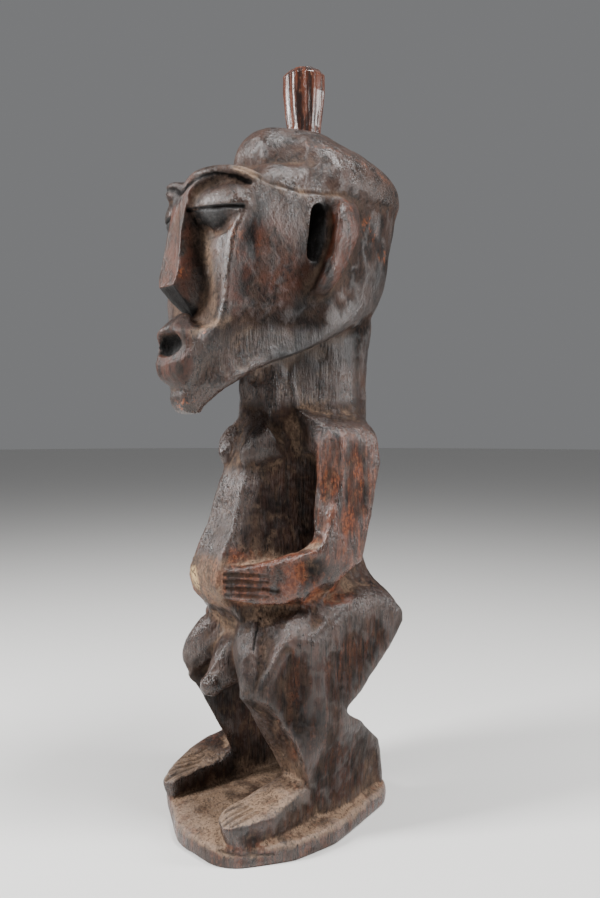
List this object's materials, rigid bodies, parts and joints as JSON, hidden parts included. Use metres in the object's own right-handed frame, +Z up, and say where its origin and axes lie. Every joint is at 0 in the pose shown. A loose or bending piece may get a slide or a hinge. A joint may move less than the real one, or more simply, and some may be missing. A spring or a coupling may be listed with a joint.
{
  "type": "songye power figure",
  "caption": "Carved wooden standing figure with a large mask-like head, hands on the belly, bent legs, its own base and a peg in the crown.",
  "frame": {"origin": "on the underside of the base, where the figure's middle plane crosses it", "axes": "+Z up to the crown, -Y the way the face looks, +X the figure's left"},
  "size_m": [0.184, 0.2268, 0.621],
  "materials": {
    "figure_wood": "dark brown-black patina, grey sheen, dust in the hollows",
    "peg_wood": "glossy red-brown"
  },
  "bodies": {
    "root": {"figure": "figure_wood", "crown_peg": "peg_wood"}
  },
  "joints": []
}
